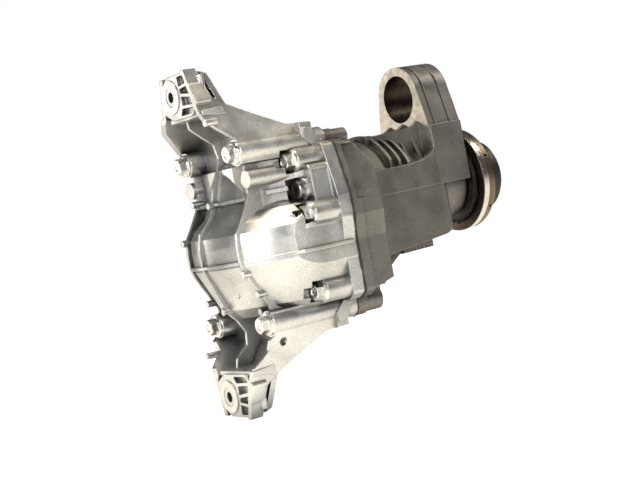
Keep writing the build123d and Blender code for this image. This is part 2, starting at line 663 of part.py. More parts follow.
def on_side(shape, upper):
    """Place a side bearing part: wide roller end towards the case."""
    if upper:
        return Pos(0, 0, SIDE_BEARING_Z) * shape
    return Pos(0, 0, low(SIDE_BEARING_Z)) * Rot(180, 0, 0) * shape


def on_head(shape):
    return Pos(HEAD_X, 0, 0) * Rot(0, 90, 0) * shape


def on_tail(shape):
    return Pos(TAIL_X + TAIL_BEARING[2], 0, 0) * Rot(0, -90, 0) * shape


def bearing_retainer(upper):
    """Threaded ring that holds a side bearing cup and carries the seal."""
    z0 = SIDE_BEARING_Z + SIDE_BEARING[2]
    ring = turned_z([(28, z0), (SIDE_BEARING[1], z0), (SIDE_BEARING[1], NECK_TOP - 0.5),
                     (28, NECK_TOP - 0.5)])
    for i in range(8):
        ring -= Rot(0, 0, 45 * i) * (Pos(31.5, 0, NECK_TOP) * Box(4, 5, 5))
    return ring if upper else mirrored_ear(ring)


def shaft_seal(outer, inner, width):
    """Lip seal: steel-backed rubber ring with an inward lip; local +Z is the outside."""
    return turned_z([
        (outer, 0), (outer, width), (inner + 2.2, width), (inner, width - 1.2), (inner + 0.6, width - 3.5),
        (inner + 3.0, width - 3.0), (outer - 1.6, width - 2.0), (outer - 1.6, 0)])


def output_seal(upper):
    seal = Pos(0, 0, NECK_TOP - 8.5) * shaft_seal(28.0, 19.0, 8.0)
    return seal if upper else mirrored_ear(seal)


# ================================================================ final drive gears
def ring_gear():
    toe, heel = tooth_tips(
        RING_TEETH, PINION_TEETH, FINAL_CONE, FINAL_FACE, RING_ADDENDUM)
    blank = turned_z([
        (RING_BORE_R, toe[1] + 1.0), toe, heel, (RING_OUTER_R, heel[1] + 2.4), (RING_OUTER_R, -RING_BACK_Z),
        (RING_BORE_R, -RING_BACK_Z)])
    spaces = tooth_spaces(
        RING_TEETH, PINION_TEETH, FINAL_CONE, FINAL_FACE, RING_ADDENDUM, PINION_ADDENDUM,
        math.radians(20), FLANK_CLEARANCE, -SPIRAL, 2, 0)
    gear = Rot(180, 0, 0) * (blank - spaces)
    for i in range(RING_BOLTS):
        x, y = ring_bolt_xy(i)
        gear -= z_rod(4.0, RING_BACK_Z - 1, RING_BACK_Z + 10, x, y)
    return gear


def ring_bolt_xy(i):
    angle = 2 * math.pi * (i + 0.5) / RING_BOLTS
    return RING_BOLT_PCR * math.cos(angle), RING_BOLT_PCR * math.sin(angle)


def drive_pinion():
    toe, heel = tooth_tips(
        PINION_TEETH, RING_TEETH, FINAL_CONE, FINAL_FACE, PINION_ADDENDUM)
    shoulder = 19.0
    blank = turned_z([
        (0, toe[1]), toe, heel, (shoulder, heel[1] + 3.2), (shoulder, HEAD_X), (HEAD_BEARING[0], HEAD_X),
        (HEAD_BEARING[0], 99), (16, 100), (16, 157), (TAIL_BEARING[0], 158), (TAIL_BEARING[0], 182),
        (SHAFT_SPLINE_R, 183), (SHAFT_SPLINE_R, 232), (11, 233), (11, 246), (10, 247), (0, 247)])
    spaces = tooth_spaces(
        PINION_TEETH, RING_TEETH, FINAL_CONE, FINAL_FACE, PINION_ADDENDUM, RING_ADDENDUM,
        math.radians(20), FLANK_CLEARANCE, SPIRAL, 4, 0.5)
    return Rot(0, 90, 0) * (blank - spaces)


# ================================================================ differential gears
def side_gear(upper):
    toe, heel = tooth_tips(
        SIDE_TEETH, SPIDER_TEETH, DIFF_CONE, DIFF_FACE, DIFF_ADDENDUM)
    blank = turned_z([
        (SPLINE_R, toe[1] + 0.5), toe, heel, (heel[0], SIDE_BACK - 1), (heel[0] - 1, SIDE_BACK),
        (HUB_R, SIDE_BACK), (HUB_R, 44), (15, 45), (SPLINE_R, 45)])
    spaces = tooth_spaces(
        SIDE_TEETH, SPIDER_TEETH, DIFF_CONE, DIFF_FACE, DIFF_ADDENDUM, DIFF_ADDENDUM,
        math.radians(25), FLANK_CLEARANCE, 0.0, 2, 0)
    gear = blank - spaces
    for i in range(24):
        gear -= Rot(0, 0, 15 * i) * (Pos(SPLINE_R, 0, 28) * Box(2.4, 1.5, 60))
    gear = Rot(0, 0, 90) * gear
    placed = Pos(0, 0, MID_Z) * gear
    return placed if upper else mirrored_ear(placed)


def spider_gear(near):
    toe, heel = tooth_tips(
        SPIDER_TEETH, SIDE_TEETH, DIFF_CONE, DIFF_FACE, DIFF_ADDENDUM)
    bore = CROSS_PIN_R + 0.06
    blank = turned_z([
        (bore, toe[1]), toe, heel, (13.5, heel[1] + 4.0), (13.5, SPIDER_BACK - 2.0),
        (12.0, SPIDER_BACK), (bore, SPIDER_BACK)])
    spaces = tooth_spaces(
        SPIDER_TEETH, SIDE_TEETH, DIFF_CONE, DIFF_FACE, DIFF_ADDENDUM, DIFF_ADDENDUM,
        math.radians(25), FLANK_CLEARANCE, 0.0, 4, 0.5)
    gear = Rot(90, 0, 0) * Rot(0, 0, 90) * (blank - spaces)
    placed = Pos(0, 0, MID_Z) * gear
    return placed if near else mirror(placed, Plane.XZ)


def side_thrust_washer(upper):
    ring = turned_z([(HUB_R + 0.4, SIDE_BACK + 0.05), (25.5, SIDE_BACK + 0.05), (25.5, SIDE_BACK + 1.25),
                     (HUB_R + 0.4, SIDE_BACK + 1.25)])
    placed = Pos(0, 0, MID_Z) * ring
    return placed if upper else mirrored_ear(placed)


def spider_thrust_washer(near):
    ring = turned_z([
        (CROSS_PIN_R + 0.4, SPIDER_BACK + 0.05), (12.0, SPIDER_BACK + 0.05), (12.0, SPIDER_BACK + 1.0),
        (CROSS_PIN_R + 0.4, SPIDER_BACK + 1.0)])
    placed = Pos(0, 0, MID_Z) * (Rot(90, 0, 0) * ring)
    return placed if near else mirror(placed, Plane.XZ)


# ================================================================ differential case
def case_cavity():
    """Room for the differential gears, local to the differential centre."""
    top = SIDE_BACK + 1.35
    room = turned_z([
        (0, -top), (28.5, -top), (CASE_CAVITY_R, -10), (CASE_CAVITY_R, 10), (28.5, top), (0, top)])
    for side in (-1, 1):
        y0, y1 = sorted((side * 20, side * (SPIDER_BACK + 1.05)))
        room += y_rod(20.5, y0, y1)
    return Pos(0, 0, MID_Z) * room


def diff_case_bowl():
    shape = turned_z([
        (0, SIDE_BEARING_Z + 19), (SIDE_BEARING[0], SIDE_BEARING_Z + 19), (SIDE_BEARING[0], SIDE_BEARING_Z),
        (25, SIDE_BEARING_Z), (25, 30), (29, 20), (38, 10), (CASE_R, 2), (CASE_R, -26), (CASE_SPIGOT_R, -27),
        (CASE_SPIGOT_R, RING_BACK_Z), (CASE_FLANGE_R, RING_BACK_Z), (CASE_FLANGE_R, BOWL_FLANGE_Z),
        (0, BOWL_FLANGE_Z)])
    shape -= case_cavity()
    shape -= z_rod(CASE_CAVITY_R, BOWL_FLANGE_Z - 1, MID_Z - 10)
    shape -= z_rod(HUB_R + 0.06, -10, 60)
    shape -= y_rod(CROSS_PIN_R, -60, 60, 0, MID_Z)
    shape -= z_rod(2.0, BOWL_FLANGE_Z - 1, MID_Z + 14, 0, -38.5)
    for side in (-1, 1):
        shape -= Pos(side * 40, 0, MID_Z + 2) * Rot(0, 90, 0) * extrude(
            RectangleRounded(26, 34, 8), amount=24, both=True)
    for i in range(RING_BOLTS):
        x, y = ring_bolt_xy(i)
        shape -= z_rod(4.3, BOWL_FLANGE_Z - 1, RING_BACK_Z + 1, x, y)
    return shape


def diff_case_cap():
    journal = low(SIDE_BEARING_Z)
    spigot = CASE_CAVITY_R - 0.02
    shape = turned_z([
        (0, BOWL_FLANGE_Z + 2.6), (spigot, BOWL_FLANGE_Z + 2.6), (spigot, BOWL_FLANGE_Z),
        (CASE_FLANGE_R, BOWL_FLANGE_Z), (CASE_FLANGE_R, CAP_FLANGE_Z), (40, CAP_FLANGE_Z), (32, -54),
        (25, -62), (25, journal), (SIDE_BEARING[0], journal), (SIDE_BEARING[0], journal - 19),
        (0, journal - 19)])
    shape -= case_cavity()
    shape -= z_rod(HUB_R + 0.06, -100, -30)
    for i in range(RING_BOLTS):
        x, y = ring_bolt_xy(i)
        shape -= z_rod(4.3, CAP_FLANGE_Z - 1, BOWL_FLANGE_Z + 1, x, y)
    return shape


def ring_gear_bolts():
    bolts = []
    for i in range(RING_BOLTS):
        x, y = ring_bolt_xy(i)
        head = Pos(0, 0, CAP_FLANGE_Z - 6) * hexagon(12.0, 5) + z_rod(7.6, CAP_FLANGE_Z - 1.2, CAP_FLANGE_Z)
        bolts.append(Pos(x, y, 0) * (head + z_rod(4.0, CAP_FLANGE_Z - 2, RING_BACK_Z + 8)))
    return Compound(children=bolts)


def cross_pin():
    pin = y_rod(CROSS_PIN_R, -42.2, 42.2, 0, MID_Z)
    return pin - z_rod(2.0, MID_Z - 9, MID_Z + 9, 0, -38.5)


def cross_pin_lock():
    return z_rod(2.0, MID_Z - 9, MID_Z + 14, 0, -38.5)


# ================================================================ input end
def spacer_sleeve():
    x0, x1 = HEAD_X + HEAD_BEARING[2] * 0.93, TAIL_X + TAIL_BEARING[2] * 0.07
    mid = (x0 + x1) / 2
    return turned_x([
        (x0, 17.6), (x0, 20.5), (mid - 10, 20.5), (mid - 3, 23.5), (mid + 3, 23.5), (mid + 10, 20.5),
        (x1, 20.5), (x1, 17.0), (mid + 10, 17.0), (mid, 19.5), (mid - 10, 17.6)])


def pinion_seal():
    return Pos(NOSE_END_X - 10.5, 0, 0) * Rot(0, 90, 0) * shaft_seal(32.0, SEAL_R + 0.05, 10.0)


def input_flange():
    hub_start = TAIL_X + TAIL_BEARING[2]
    x_rim = FLANGE_X + RIM_THICK
    shape = turned_x([
        (hub_start, SHAFT_SPLINE_R), (hub_start, SEAL_R - 1), (hub_start + 1, SEAL_R),
        (FLANGE_X - 2.4, SEAL_R), (FLANGE_X, SEAL_R + 2.4), (FLANGE_X + 2.2, 44), (FLANGE_X, 46),
        (FLANGE_X, FLANGE_R - 0.8),
        (FLANGE_X + 0.8, FLANGE_R), (x_rim, FLANGE_R), (x_rim, 51), (BOLT_FACE_X, 51),
        (BOLT_FACE_X, CAP_SEAT_R), (BOLT_FACE_X - 0.5, CAP_SEAT_R), (BOLT_FACE_X - 0.5, 28),
        (x_rim + 14, 28), (x_rim + 14, 19), (236, 19), (236, SHAFT_SPLINE_R)])
    shape -= x_rod(TAIL_BEARING[0] + 0.1, hub_start - 1, 183.2)
    for i in range(FLANGE_BOLTS):
        angle = math.radians(60 * i + 30)
        y, z = FLANGE_BOLT_PCR * math.cos(angle), FLANGE_BOLT_PCR * math.sin(angle)
        shape -= x_rod(4.25, FLANGE_X - 1, x_rim + 9, y, z)
    return shape


def flange_ring():
    """Damper ring pressed round the front of the input flange."""
    x0 = FLANGE_X + RIM_THICK
    x1 = x0 + RING_THICK
    shape = turned_x([(x0, 51), (x0, 54.2), (x1 - 3, 54.2), (x1, 52), (x1, 51)])
    for i in range(6):
        shape -= Rot(60 * i + 8, 0, 0) * z_rod(1.6, 50, 60, x0 + 4.5, 0)
    return shape


def dust_shield():
    return turned_x([
        (FLANGE_X - 4.0, SEAL_R), (FLANGE_X - 4.0, 30), (FLANGE_X - 2.5, 43.5), (FLANGE_X - 6.5, 44.5),
        (FLANGE_X - 6.5, 46), (FLANGE_X - 1.2, 45), (FLANGE_X - 2.6, 30), (FLANGE_X - 2.6, SEAL_R)])


def pinion_nut():
    nut = Pos(236, 0, 0) * Rot(0, 90, 0) * hexagon(30.0, 9)
    return nut + x_rod(18.2, 236, 238) - x_rod(11.0, 230, 250)


def flange_cap():
    """Black plastic cap over the shaft nut."""
    x0 = BOLT_FACE_X + 0.2
    return turned_x([
        (x0, 28.0), (x0, CAP_R), (CAP_END_X - 3, CAP_R), (CAP_END_X, CAP_R - 3), (CAP_END_X, 0),
        (CAP_END_X - 3, 0), (CAP_END_X - 3, 33), (254, 34), (254, 28.0)])


# ================================================================ write the nodes
def nodes():
    parts = {
        "rear_cover": rear_cover(),
        "nose_housing": nose_housing(),
        "seam_gasket": seam_gasket(),
        "cover_bolts_long": cover_bolts_long(),
        "cover_bolts_short": cover_bolts_short(),
        "dowel_pins": dowel_pins(),
        "filler_plug": filler_plug(),
        "plug_washer": plug_washer(),
        "breather_vent": breather_vent(),
        "diff_case_bowl": diff_case_bowl(),
        "diff_case_cap": diff_case_cap(),
        "ring_gear": ring_gear(),
        "ring_gear_bolts": ring_gear_bolts(),
        "cross_pin": cross_pin(),
        "cross_pin_lock": cross_pin_lock(),
        "drive_pinion": drive_pinion(),
        "pinion_head_cup": on_head(cup(*HEAD_BEARING)),
        "pinion_head_cone": on_head(cone(*HEAD_BEARING)),
        "pinion_head_rollers": on_head(rollers(*HEAD_BEARING, 16)),
        "pinion_tail_cup": on_tail(cup(*TAIL_BEARING)),
        "pinion_tail_cone": on_tail(cone(*TAIL_BEARING)),
        "pinion_tail_rollers": on_tail(rollers(*TAIL_BEARING, 15)),
        "spacer_sleeve": spacer_sleeve(),
        "pinion_seal": pinion_seal(),
        "input_flange": input_flange(),
        "flange_ring": flange_ring(),
        "dust_shield": dust_shield(),
        "pinion_nut": pinion_nut(),
        "flange_cap": flange_cap(),
    }
    for upper, end in ((True, "upper"), (False, "lower")):
        parts["bearing_retainer_" + end] = bearing_retainer(upper)
        parts["output_seal_" + end] = output_seal(upper)
        parts["side_gear_" + end] = side_gear(upper)
        parts["side_thrust_washer_" + end] = side_thrust_washer(upper)
        parts["side_bearing_cup_" + end] = on_side(cup(*SIDE_BEARING), upper)
        parts["side_bearing_cone_" + end] = on_side(cone(*SIDE_BEARING), upper)
        parts["side_bearing_rollers_" + end] = on_side(rollers(*SIDE_BEARING, 22), upper)
    for near, end in ((True, "near"), (False, "far")):
        parts["spider_gear_" + end] = spider_gear(near)
        parts["spider_thrust_washer_" + end] = spider_thrust_washer(near)
    return parts


os.makedirs("parts", exist_ok=True)
for name, shape in nodes().items():
    export_step(Pos(-BOLT_FACE_X, 0, 0) * shape, "parts/" + name + ".step")
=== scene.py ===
import math

import bpy
import bmesh
from mathutils import Matrix, Vector, noise


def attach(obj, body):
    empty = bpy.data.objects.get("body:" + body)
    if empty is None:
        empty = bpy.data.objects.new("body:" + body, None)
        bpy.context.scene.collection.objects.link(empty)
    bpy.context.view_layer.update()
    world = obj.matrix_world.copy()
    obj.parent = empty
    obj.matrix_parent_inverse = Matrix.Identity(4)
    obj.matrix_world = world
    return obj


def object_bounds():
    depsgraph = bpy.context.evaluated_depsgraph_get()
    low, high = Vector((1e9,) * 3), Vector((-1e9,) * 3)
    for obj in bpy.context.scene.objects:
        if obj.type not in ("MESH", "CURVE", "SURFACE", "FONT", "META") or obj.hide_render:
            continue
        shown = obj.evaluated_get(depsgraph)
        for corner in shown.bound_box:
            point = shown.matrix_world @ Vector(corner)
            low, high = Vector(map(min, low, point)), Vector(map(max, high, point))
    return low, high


# Looks for the differential gear assembly.  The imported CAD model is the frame: +X to the input flange,
# +Z to the upper half-shaft, origin at the centre of the bolt face of the input flange.  Metres.

# ---------------------------------------------------------------- camera
AZIMUTH = math.radians(-32.54)     # about +Z, from straight in front (-Y)
ELEVATION = math.radians(2.10)
ROLL = math.radians(10.97)         # about the line of sight
DISTANCE = 1.3367
LENS = 74.5                        # millimetres, like SENSOR
SENSOR = 36
AIM = Vector((-0.1997, -0.0064, -0.0323))

# ---------------------------------------------------------------- places on the object
SHAFT_X = -0.2456                  # the half-shaft axis
MIDDLE = Vector((SHAFT_X + 0.04, 0, 0))     # about the middle of the housing, for the lamps
GASKET = 0.0005                    # thickness of the seam gasket
SEAM_X = SHAFT_X + 0.038           # the cover's face at the seam
NOSE_FACE_X = SEAM_X + GASKET
# The machined faces of the cover that look to -X.
COVER_FACES_X = [SHAFT_X - away for away in (0.0862, 0.057, 0.003, 0.002)]
BUSHING_REAR_X = SHAFT_X + 0.1803  # the face of the bushing ear that looks to -X
BUSHING_Z = 0.0956
BUSHING_R = 0.0251
FLANGE_DARK_R = 0.0525             # the flange is dark inside this radius

# How close a face has to be to count as one of the places above.
PLANE_REACH = 0.0004
BORE_REACH = 0.0006
SQUARE = 0.98                      # least normal component of a face square to X
REARWARD = 0.5                     # the same, for a face that only looks towards -X

# ---------------------------------------------------------------- material nodes
CELL_SMOOTHNESS = 0.6
CREVICE_SAMPLES = 8
EDGE_SAMPLES = 6
PATCH_RANGE = (0.35, 0.7)          # noise values where a patch starts and is full
DRIFT_RANGE = (0.3, 0.7)           # noise values for the lowest and highest roughness

# ---------------------------------------------------------------- sealant bead
BEAD_STEP = 0.0025
BEAD_HEIGHT = 0.0011               # how far it stands out of the seam
BEAD_WIDTH = 0.0013                # half its width along X
BEAD_SIDES = 8
BEAD_SWELL = 90                    # noise scales, per metre
BEAD_RIPPLE = 260

# ---------------------------------------------------------------- stage and lights
FLOOR_DROP = 0.004                 # how far the floor is under the lowest point
FLOOR_HALF = 6.0
FLOOR_GLOW_LIT = 0.12              # emission as it lights the object
FLOOR_GLOW_SEEN = 0.95             # and as the camera sees it
WORLD_LIT = 0.10                   # the same two for the world
WORLD_SEEN = 1.0
WHITE = (1, 1, 1)

# Name, offset from MIDDLE, size, watts, colour.
LAMPS = (
    ("key", (-1.5, -0.9, 0.5), (0.35, 0.5), 19, WHITE),
    ("top", (-0.1, -0.2, 1.5), (0.6, 0.35), 27, (1.0, 0.90, 0.70)),
    ("front", (0.1, -1.9, 0.2), (0.3, 0.9), 6, WHITE),
    ("beyond", (-1.0, 1.45, 0.1), (0.5, 0.9), 4.5, (1.0, 0.94, 0.82)),
    ("rim", (1.3, -0.4, 0.9), (0.4, 0.6), 7, (1.0, 0.93, 0.80)),
)

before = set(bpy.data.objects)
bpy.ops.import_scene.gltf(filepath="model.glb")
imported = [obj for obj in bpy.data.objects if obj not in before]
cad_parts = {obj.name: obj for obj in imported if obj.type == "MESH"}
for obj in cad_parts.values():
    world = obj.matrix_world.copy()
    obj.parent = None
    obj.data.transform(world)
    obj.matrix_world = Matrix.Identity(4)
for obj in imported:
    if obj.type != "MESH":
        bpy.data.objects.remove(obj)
cad_low, cad_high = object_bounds()


# ================================================================ material nodes
class Shader:
    """A material's node tree with short calls for the nodes used here.  Noise scales are per metre."""

    def __init__(self, name, colour, metallic, roughness):
        self.material = bpy.data.materials.new(name)
        self.material.use_nodes = True
        self.tree = self.material.node_tree
        self.bsdf = self.tree.nodes["Principled BSDF"]
        self.bsdf.inputs["Base Color"].default_value = (*colour, 1)
        self.bsdf.inputs["Metallic"].default_value = metallic
        self.bsdf.inputs["Roughness"].default_value = roughness
        self.coords = self.add("ShaderNodeTexCoord").outputs["Object"]

    def add(self, kind, **settings):
        node = self.tree.nodes.new(kind)
        for key, value in settings.items():
            setattr(node, key, value)
        return node

    def link(self, source, target):
        self.tree.links.new(source, target)

    def noise(self, scale, detail=4.0, roughness=0.6, distortion=0.0):
        node = self.add("ShaderNodeTexNoise")
        node.inputs["Scale"].default_value = scale
        node.inputs["Detail"].default_value = detail
        node.inputs["Roughness"].default_value = roughness
        node.inputs["Distortion"].default_value = distortion
        self.link(self.coords, node.inputs["Vector"])
        return node.outputs["Fac"]

    def cells(self, scale):
        node = self.add("ShaderNodeTexVoronoi", feature="SMOOTH_F1")
        node.inputs["Scale"].default_value = scale
        node.inputs["Smoothness"].default_value = CELL_SMOOTHNESS
        self.link(self.coords, node.inputs["Vector"])
        return node.outputs["Distance"]

    def spread(self, value, low, high, out_low, out_high):
        """Maps low..high to out_low..out_high, clamped."""
        node = self.add("ShaderNodeMapRange")
        numbers = {"From Min": low, "From Max": high, "To Min": out_low, "To Max": out_high}
        for key, number in numbers.items():
            node.inputs[key].default_value = number
        self.link(value, node.inputs["Value"])
        return node.outputs["Result"]

    def patches(self, scale, detail=4, roughness=0.6, distortion=0.0):
        """0 to 1 in soft-edged patches, for mixing two colours."""
        return self.spread(self.noise(scale, detail, roughness, distortion), *PATCH_RANGE, 0.0, 1.0)

    def maths(self, operation, a, b):
        node = self.add("ShaderNodeMath", operation=operation)
        for socket, value in zip(node.inputs, (a, b)):
            if isinstance(value, (int, float)):
                socket.default_value = value
            else:
                self.link(value, socket)
        return node.outputs["Value"]

    def mix(self, factor, a, b):
        node = self.add("ShaderNodeMix", data_type="RGBA")
        self.link(factor, node.inputs["Factor"])
        for key, value in (("A", a), ("B", b)):
            socket = [s for s in node.inputs if s.name == key and s.type == "RGBA"][0]
            if isinstance(value, tuple):
                socket.default_value = (*value, 1)
            else:
                self.link(value, socket)
        return [s for s in node.outputs if s.type == "RGBA"][0]

    def facing(self, letter):
        """One component of the surface normal, in the object's own frame."""
        normal = self.add("ShaderNodeTexCoord").outputs["Normal"]
        node = self.add("ShaderNodeSeparateXYZ")
        self.link(normal, node.inputs[0])
        return node.outputs[letter]

    def turned_about(self, first, second):
        """Distance from an axis, for lathe marks, from the two coordinates across it."""
        node = self.add("ShaderNodeSeparateXYZ")
        self.link(self.coords, node.inputs[0])
        along = {key: node.outputs[key] for key in "XYZ"}
        along["X"] = self.maths("SUBTRACT", along["X"], SHAFT_X)
        squares = [self.maths("MULTIPLY", along[k], along[k]) for k in (first, second)]
        return self.maths("SQRT", self.maths("ADD", *squares), 0)

    def painted_crevice_shade(self, distance):
        """Ambient occlusion, used as painted shade: low in pockets and corners."""
        node = self.add("ShaderNodeAmbientOcclusion", samples=CREVICE_SAMPLES)
        node.inputs["Distance"].default_value = distance
        return node.outputs["AO"]

    def colour(self, value):
        self.link(value, self.bsdf.inputs["Base Color"])

    def roughness(self, scale, low, high, detail=3):
        """Roughness that drifts between low and high."""
        value = self.spread(self.noise(scale, detail), *DRIFT_RANGE, low, high)
        self.link(value, self.bsdf.inputs["Roughness"])

    def bump(self, height, distance, strength, edge):
        """Surface relief; edge is the radius of the small round the bevel node gives the corners."""
        node = self.add("ShaderNodeBump")
        node.inputs["Distance"].default_value = distance
        node.inputs["Strength"].default_value = strength
        self.link(height, node.inputs["Height"])
        bevel = self.add("ShaderNodeBevel", samples=EDGE_SAMPLES)
        bevel.inputs["Radius"].default_value = edge
        self.link(bevel.outputs["Normal"], node.inputs["Normal"])
        self.link(node.outputs["Normal"], self.bsdf.inputs["Normal"])


# ================================================================ materials
def cast_aluminium(name, light, dark, flow_and_top_light_tint, roughness, grain):
    """Shot-blasted die casting: fine grain, cloudy tone, warm flow marks that double as painted warm top
    light on faces that look up, painted shade in pockets.
    """
    s = Shader(name, light, 0.92, roughness)
    cloud = s.spread(s.noise(14, 5, 0.55, 0.6), 0.35, 0.68, 0.0, 1.0)
    base = s.mix(cloud, light, dark)
    warm = s.spread(s.noise(9, 3, 0.5, 1.2), 0.52, 0.74, 0.0, 0.55)
    # Painted warm top light: the warm flow-mark tint is kept mostly to faces that look up (+Z), where
    # the warm top lamp falls.
    painted_top_light = s.spread(s.facing("Z"), 0.15, 0.9, 0.25, 1.0)
    base = s.mix(s.maths("MULTIPLY", warm, painted_top_light), base, flow_and_top_light_tint)
    speck = s.spread(s.noise(620, 2, 0.7), 0.38, 0.62, 0.86, 1.06)
    # Painted shade: the colour darkens in pockets and corners where ambient occlusion is low.
    shade = s.spread(s.painted_crevice_shade(0.03), 0.3, 0.95, 0.3, 1.0)
    toned = s.add("ShaderNodeVectorMath", operation="SCALE")
    s.link(base, toned.inputs[0])
    s.link(s.maths("MULTIPLY", speck, shade), toned.inputs["Scale"])
    s.colour(toned.outputs[0])
    s.roughness(45, roughness - 0.07, roughness + 0.1, detail=4)
    relief = s.maths("ADD", s.maths("MULTIPLY", s.cells(850), 0.7), s.noise(260, 3))
    s.bump(relief, grain, 0.55, edge=0.0012)
    return s.material


def machined(name, colour, roughness, across, pitch=0.0009):
    """Turned or faced metal with fine tool marks about one axis."""
    s = Shader(name, colour, 1.0, roughness)
    turns = s.maths("MULTIPLY", s.turned_about(*across), 2 * math.pi / pitch)
    marks = s.maths("SINE", turns, 0)
    s.colour(s.mix(s.patches(60, distortion=0.5), colour, tuple(c * 0.72 for c in colour)))
    s.roughness(180, roughness - 0.06, roughness + 0.09)
    s.bump(s.maths("ADD", marks, s.noise(900, 2)), 0.000025, 0.5, edge=0.0004)
    return s.material


def zinc(name):
    """Pale zinc plating with faint warm clouding and small dark chips."""
    s = Shader(name, (0.74, 0.75, 0.77), 1.0, 0.28)
    base = s.mix(s.patches(120, 3, 0.5, 0.8), (0.92, 0.92, 0.92), (0.80, 0.77, 0.70))
    chips = s.spread(s.noise(420, 3, 0.7), 0.66, 0.72, 0.0, 1.0)
    s.colour(s.mix(chips, base, (0.36, 0.35, 0.33)))
    s.roughness(200, 0.22, 0.38)
    s.bump(s.noise(700, 3), 0.00003, 0.5, edge=0.0004)
    return s.material


def oiled_steel(name, colour, roughness):
    s = Shader(name, colour, 1.0, roughness)
    s.colour(s.mix(s.patches(70, distortion=0.4), colour, tuple(c * 0.7 for c in colour)))
    s.roughness(240, roughness - 0.05, roughness + 0.1)
    s.bump(s.noise(520, 3), 0.00003, 0.6, edge=0.0003)
    return s.material


def cast_iron(name):
    s = Shader(name, (0.20, 0.20, 0.21), 0.85, 0.48)
    s.colour(s.mix(s.patches(35, 5, distortion=0.4), (0.24, 0.24, 0.25), (0.13, 0.125, 0.12)))
    s.roughness(160, 0.4, 0.6)
    s.bump(s.maths("ADD", s.cells(700), s.noise(300, 3)), 0.00012, 0.5, edge=0.0006)
    return s.material


def rubber(name, colour, roughness=0.62):
    """Dull black with a little dust; the sealant and the shield's paint are made with it too."""
    s = Shader(name, colour, 0.0, roughness)
    dust = s.spread(s.noise(90), 0.45, 0.75, 0.0, 0.5)
    s.colour(s.mix(dust, colour, tuple(c * 1.8 + 0.015 for c in colour)))
    s.roughness(260, roughness - 0.08, roughness + 0.1)
    s.bump(s.noise(480, 3), 0.00004, 0.5, edge=0.0004)
    return s.material


def black_plastic(name):
    s = Shader(name, (0.012, 0.012, 0.013), 0.0, 0.42)
    s.bsdf.inputs["Specular IOR Level"].default_value = 0.45
    haze = s.spread(s.noise(50), 0.4, 0.75, 0.0, 0.6)
    s.colour(s.mix(haze, (0.011, 0.011, 0.012), (0.03, 0.03, 0.03)))
    s.roughness(300, 0.36, 0.5)
    s.bump(s.cells(1500), 0.00003, 0.4, edge=0.0005)
    return s.material


def bronze(name):
    s = Shader(name, (0.55, 0.36, 0.15), 1.0, 0.35)
    s.colour(s.mix(s.patches(80), (0.58, 0.39, 0.17), (0.36, 0.22, 0.09)))
    s.bump(s.noise(500, 3), 0.00003, 0.5, edge=0.0003)
    return s.material


# ================================================================ which node wears what
YZ = ("Y", "Z")                    # the coordinates across the pinion axis
XY = ("X", "Y")                    # the coordinates across the half-shaft axis

# Material name: the function that makes it, and what it takes after the name.
RECIPES = {
    # The third colour of each casting is its warm flow-mark tint, which is also painted warm top light
    # on faces that look up.
    "cover_casting": (cast_aluminium, (0.82, 0.82, 0.81), (0.52, 0.52, 0.52),
                      (0.84, 0.73, 0.47), 0.33, 0.00022),
    "nose_casting": (cast_aluminium, (0.27, 0.262, 0.248), (0.18, 0.174, 0.165),
                     (0.50, 0.42, 0.27), 0.42, 0.0002),
    "faced_aluminium": (machined, (0.86, 0.86, 0.85), 0.24, YZ),
    # The bore's near-black colour is painted shade for its deep interior, not the bare machined
    # aluminium's own colour.
    "bore_painted_shade": (machined, (0.055, 0.045, 0.035), 0.3, YZ),
    "ear_face": (machined, (0.56, 0.52, 0.45), 0.38, YZ, 0.0013),
    "zinc_plate": (zinc,),
    "gear_steel": (oiled_steel, (0.36, 0.36, 0.38), 0.26),
    "bearing_steel": (oiled_steel, (0.66, 0.67, 0.69), 0.16),
    "pin_steel": (oiled_steel, (0.60, 0.60, 0.61), 0.22),
    "black_steel": (oiled_steel, (0.07, 0.07, 0.075), 0.34),
    "plug_steel": (oiled_steel, (0.33, 0.31, 0.29), 0.3),
    "turned_steel": (machined, (0.50, 0.49, 0.47), 0.28, XY),
    "case_iron": (cast_iron,),
    "seal_rubber": (rubber, (0.02, 0.018, 0.018)),
    "sealant": (rubber, (0.012, 0.012, 0.012), 0.5),
    "shield_paint": (rubber, (0.012, 0.012, 0.012), 0.35),
    "black_plastic": (black_plastic,),
    "thrust_bronze": (bronze,),
    "flange_steel": (machined, (0.74, 0.71, 0.68), 0.2, YZ, 0.0007),
    "flange_rear": (machined, (0.085, 0.065, 0.05), 0.36, YZ, 0.0009),
    "damper_ring": (machined, (0.22, 0.165, 0.11), 0.34, YZ, 0.0011),
}

# Material name: the nodes made of it alone.  A name ending in _ means every node that starts with it.
WORN_BY = {
    "zinc_plate": ("cover_bolts_",),
    "pin_steel": ("dowel_pins", "cross_pin", "cross_pin_lock", "plug_washer"),
    "gear_steel": ("ring_gear", "drive_pinion", "side_gear_", "spider_gear_"),
    "bearing_steel": ("pinion_head_", "pinion_tail_", "side_bearing_"),
    "thrust_bronze": ("side_thrust_washer_", "spider_thrust_washer_"),
    "turned_steel": ("bearing_retainer_", "spacer_sleeve"),
    "seal_rubber": ("output_seal_", "pinion_seal"),
    "sealant": ("seam_gasket",),
    "plug_steel": ("filler_plug",),
    "black_plastic": ("breather_vent", "flange_cap"),
    "case_iron": ("diff_case_",),
    "black_steel": ("ring_gear_bolts", "pinion_nut"),
    "damper_ring": ("flange_ring",),
    "shield_paint": ("dust_shield",),
}


def matches(node, name):
    return node.startswith(name) if name.endswith("_") else node == name


def dress(node, *materials):
    """Give a CAD node its materials; the first covers all faces until others are picked."""
    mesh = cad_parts[node].data
    mesh.materials.clear()
    for material in materials:
        mesh.materials.append(material)
    for face in mesh.polygons:
        face.material_index = 0


